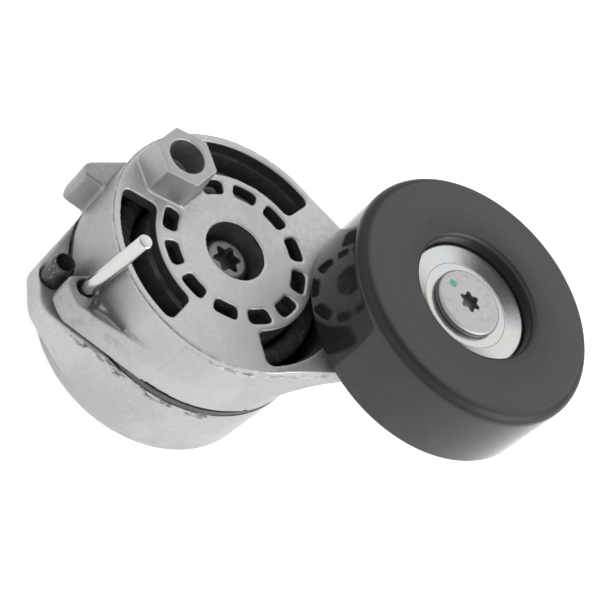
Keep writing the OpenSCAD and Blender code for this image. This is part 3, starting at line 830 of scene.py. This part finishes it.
def build_pins():
    # Lock pin, leaning in its hole: its axis is the joint's
    for joint in frame["joints"]:
        if joint["name"] == "lock_pin_pull":
            axis = Vector(joint["axis"]).normalized()
    centre = middle("lock_pin")
    ends = 2 * LOCK_PIN_R * math.hypot(axis.x, axis.y)
    half = (span("lock_pin").z - ends) / axis.z / 2
    outline = fillet([(0, -half, 0), (LOCK_PIN_R, -half, 0.5), (LOCK_PIN_R, half, 0.5), (0, half, 0)])
    pin = lathe("lock_pin_bright", outline, steps=96)
    turn = axis.to_track_quat("Z", "Y").to_matrix().to_4x4()
    pin.data.transform(Matrix.Translation(centre * MM) @ turn)
    put(pin, "lock_pin", "pin_zinc", zinc_skin("pin_zinc", 0.52, (0, 0, 0), False), "lock_pin")

    # Rolled stop pin, its slit turned away from the hexagon
    centre = middle("stop_pin")
    low, high = floor_of("stop_pin"), top_of("stop_pin")
    outer = span("stop_pin").x / 2
    inner = outer - STOP_PIN_WALL
    outline = fillet([(inner, low, 0), (outer - 0.45, low, 0), (outer, low + 1.0, 0.4),
                      (outer, high - 1.3, 0.5), (outer - 0.4, high, 0.12), (inner, high, 0.1)], steps=4)
    heading, slit = STOP_PIN_SLIT
    pin = lathe("rolled_stop_pin", outline, centre, 90, heading + slit, 360 - 2 * slit)
    skin = black_skin("stop_black", 0.05, 0.3, 0.5, metal=0.6, scuff=0.6)
    put(pin, "base", "stop_black", skin, "stop_pin")


def build_spring():
    """Round wire swept along its coils. It winds between the base and the arm."""
    low, high = floor_of("torsion_spring"), top_of("torsion_spring")
    coil_r = span("torsion_spring").x / 2 - SPRING_WIRE_R
    first, last = low + SPRING_WIRE_R, high - SPRING_WIRE_R
    per_turn, sides = 90, 20
    count = round(SPRING_TURNS * per_turn)
    pitch = math.atan((last - first) / (SPRING_TURNS * math.tau * coil_r))
    bm = bmesh.new()
    rings = []
    for i in range(count + 1):
        a = math.tau * i / per_turn
        out = Vector((math.cos(a), math.sin(a), 0))
        up = Vector((math.sin(a) * math.sin(pitch), -math.cos(a) * math.sin(pitch), math.cos(pitch)))
        middle_point = out * coil_r + Vector((0, 0, first + (last - first) * i / count))
        near_end = min(i, count - i)
        wire = SPRING_WIRE_R * (0.85 if near_end == 0 else 1.0)
        rings.append([bm.verts.new(middle_point + (out * math.cos(b) + up * math.sin(b)) * wire)
                      for b in (math.tau * j / sides for j in range(sides))])
    for here, there in zip(rings, rings[1:]):
        for j in range(sides):
            k = (j + 1) % sides
            bm.faces.new((here[j], there[j], there[k], here[k]))
    bm.faces.new(rings[0])
    bm.faces.new(rings[-1][::-1])
    spring = new_object("coil_spring", bm)
    spring.data.polygons.foreach_set("use_smooth", [True] * len(spring.data.polygons))
    spring.data.set_sharp_from_angle(angle=math.radians(50))
    spring.data.materials.append(black_skin("spring_black", 0.08, 0.18, 0.3, grain_depth=0))
    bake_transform(spring)
    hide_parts("torsion_spring")


def dress_cad_nodes():
    """Gives the CAD nodes that stay their materials, by slot."""
    pulley = middle("pulley")
    axis = (pulley.x, pulley.y, 0)
    skins = {
        "shaft_steel": steel_skin("shaft_steel", 0.28, 0.38),
        "washer_black": black_skin("washer_black", 0.04, 0.3, 0.45, metal=0.7),
        "damper_black": black_skin("damper_black", 0.05, 0.35, 0.5),
        "bearing_steel": steel_skin("bearing_steel", 0.66, 0.16, axis),
        "cage_polymer": cage_skin(),
        "seal_rubber": black_skin("seal_rubber", 0.022, 0.5, 0.7),
        "cap_zinc": zinc_skin("shield_zinc", 0.56, axis, True),
    }
    for part in frame["record"]["subparts"]:
        node = NODES[part["node"]]
        if node.hide_render:
            continue
        node.data.materials.clear()
        node.data.materials.append(skins[part["material_slot"]])


# ================= camera, floor and light =================

def add_camera():
    data = bpy.data.cameras.new("camera")
    data.lens = CAMERA_LENS
    data.sensor_width = 36.0
    data.clip_start = 0.01
    data.clip_end = 20.0
    cam = bpy.data.objects.new("camera", data)
    bpy.context.scene.collection.objects.link(cam)
    cam.rotation_mode = "QUATERNION"
    level = CAMERA_DIR.to_track_quat("-Z", "Y")
    cam.rotation_quaternion = level @ Matrix.Rotation(CAMERA_ROLL, 4, "Z").to_quaternion()
    cam.location = CAMERA_AIM - CAMERA_DIR.normalized() * CAMERA_DISTANCE
    bpy.context.scene.camera = cam


def add_studio():
    scene = bpy.context.scene
    scene.view_settings.view_transform = "Standard"
    bm = bmesh.new()
    bmesh.ops.create_grid(bm, x_segments=1, y_segments=1, size=FLOOR_HALF)
    floor = new_object("floor", bm)
    paper = Finish("floor_paper", 0.8, specular=0.1)
    paper.colour(paper.mix(paper.noise(0.01, 2), grey(0.78), grey(0.8)))
    paper.shader.inputs["Emission Color"].default_value = (1, 1, 1, 1)
    paper.shader.inputs["Emission Strength"].default_value = FLOOR_GLOW
    floor.data.materials.append(paper.material)

    world = bpy.data.worlds.new("studio")
    scene.world = world
    world.use_nodes = True
    tree = world.node_tree
    sky = tree.nodes["Background"]
    sky.inputs["Color"].default_value = (1, 1, 1, 1)
    # Bright walls all round, dark towards the horizon and the ceiling; the camera itself sees white
    split = tree.nodes.new("ShaderNodeSeparateXYZ")
    tree.links.new(tree.nodes.new("ShaderNodeTexCoord").outputs["Generated"], split.inputs[0])
    ramps = []
    for (low, high), at_low, at_high in ((SKY_RISE, SKY_HORIZON, SKY_MIDDLE),
                                         (SKY_FALL, SKY_MIDDLE, SKY_TOP)):
        ramp = tree.nodes.new("ShaderNodeMapRange")
        ramp.interpolation_type = "SMOOTHSTEP"
        for key, number in (("From Min", low), ("From Max", high),
                            ("To Min", at_low), ("To Max", at_high)):
            ramp.inputs[key].default_value = number
        tree.links.new(split.outputs["Z"], ramp.inputs["Value"])
        ramps.append(ramp.outputs["Result"])
    walls = tree.nodes.new("ShaderNodeMath")
    walls.operation = "MINIMUM"
    tree.links.new(ramps[0], walls.inputs[0])
    tree.links.new(ramps[1], walls.inputs[1])
    seen = tree.nodes.new("ShaderNodeMath")
    seen.operation = "MAXIMUM"
    tree.links.new(walls.outputs[0], seen.inputs[0])
    tree.links.new(tree.nodes.new("ShaderNodeLightPath").outputs["Is Camera Ray"], seen.inputs[1])
    tree.links.new(seen.outputs[0], sky.inputs["Strength"])

    data = bpy.data.lights.new("softbox", "AREA")
    data.energy = KEY_ENERGY
    data.size = KEY_SIZE
    softbox = bpy.data.objects.new("softbox", data)
    softbox.location = KEY_PLACE
    softbox.rotation_mode = "QUATERNION"
    softbox.rotation_quaternion = (CAMERA_AIM - KEY_PLACE).to_track_quat("-Z", "Y")
    scene.collection.objects.link(softbox)


add_camera()
add_studio()
build_castings()
build_pulley()
build_dust_cap()
build_bolts()
build_pins()
build_spring()
dress_cad_nodes()
